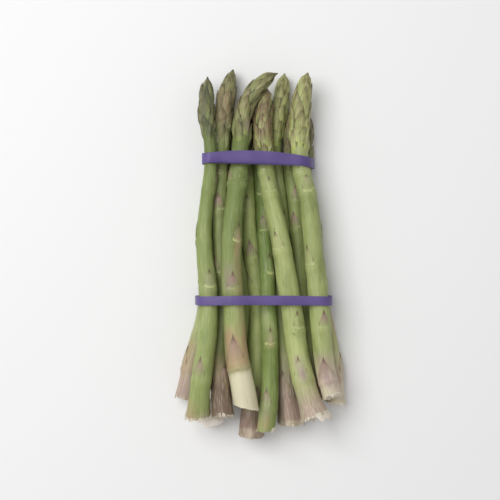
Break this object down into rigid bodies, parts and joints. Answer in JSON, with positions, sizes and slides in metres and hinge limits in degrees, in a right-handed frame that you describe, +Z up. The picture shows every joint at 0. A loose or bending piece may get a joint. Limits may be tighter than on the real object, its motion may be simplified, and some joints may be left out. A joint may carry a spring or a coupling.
{
  "type": "asparagus bundle",
  "caption": "Bundle of green asparagus spears lying down, held together by two flat rubber bands.",
  "frame": {"origin": "on the surface that the bundle lies on, under the middle of its bounding box", "axes": "+Y along the spears towards their tips, +Z up, +X to the right seen from above with the tips ahead"},
  "size_m": [0.107, 0.2306, 0.0344],
  "materials": {
    "spear": "satin",
    "rubber_band": "satin"
  },
  "bodies": {
    "root": {"spear_01": "spear", "spear_02": "spear", "spear_03": "spear", "spear_04": "spear", "spear_05": "spear", "spear_06": "spear", "spear_07": "spear", "spear_08": "spear", "spear_09": "spear", "spear_10": "spear", "spear_11": "spear", "spear_12": "spear", "band_lower": "rubber_band", "band_upper": "rubber_band"}
  },
  "joints": []
}
